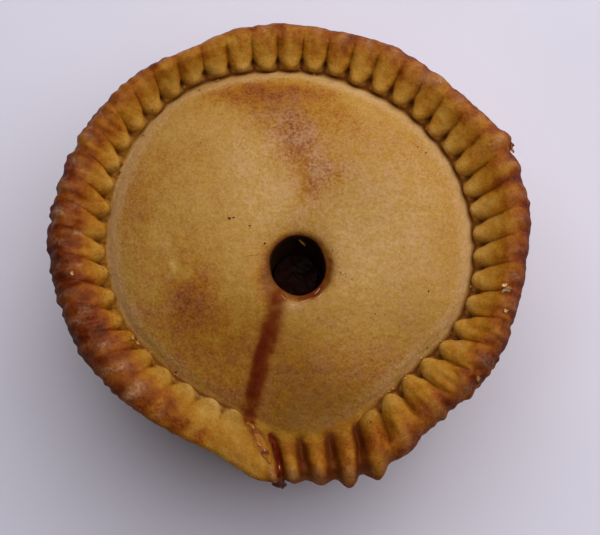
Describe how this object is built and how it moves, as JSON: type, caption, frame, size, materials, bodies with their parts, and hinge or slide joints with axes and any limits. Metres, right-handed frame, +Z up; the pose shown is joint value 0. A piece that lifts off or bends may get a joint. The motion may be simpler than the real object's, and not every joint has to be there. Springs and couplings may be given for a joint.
{
  "type": "meat and potato pie",
  "caption": "Hand raised round pie with a deep plain wall, a rim of finger pinches, a domed lid and a vent with gravy in it.",
  "frame": {"origin": "middle of the flat base, under the middle of the rim's outline", "axes": "+Z up out of the lid, -Y towards the front, where the loose end of the rim is laid over and the vent is nearest"},
  "size_m": [0.106, 0.1052, 0.0544],
  "materials": {
    "baked_crust": "baked pastry, matt and golden on the lid, browner and slightly glazed on the rim",
    "gravy": "wet dark brown gravy"
  },
  "bodies": {
    "root": {"crust": "baked_crust", "gravy": "gravy"}
  },
  "joints": []
}
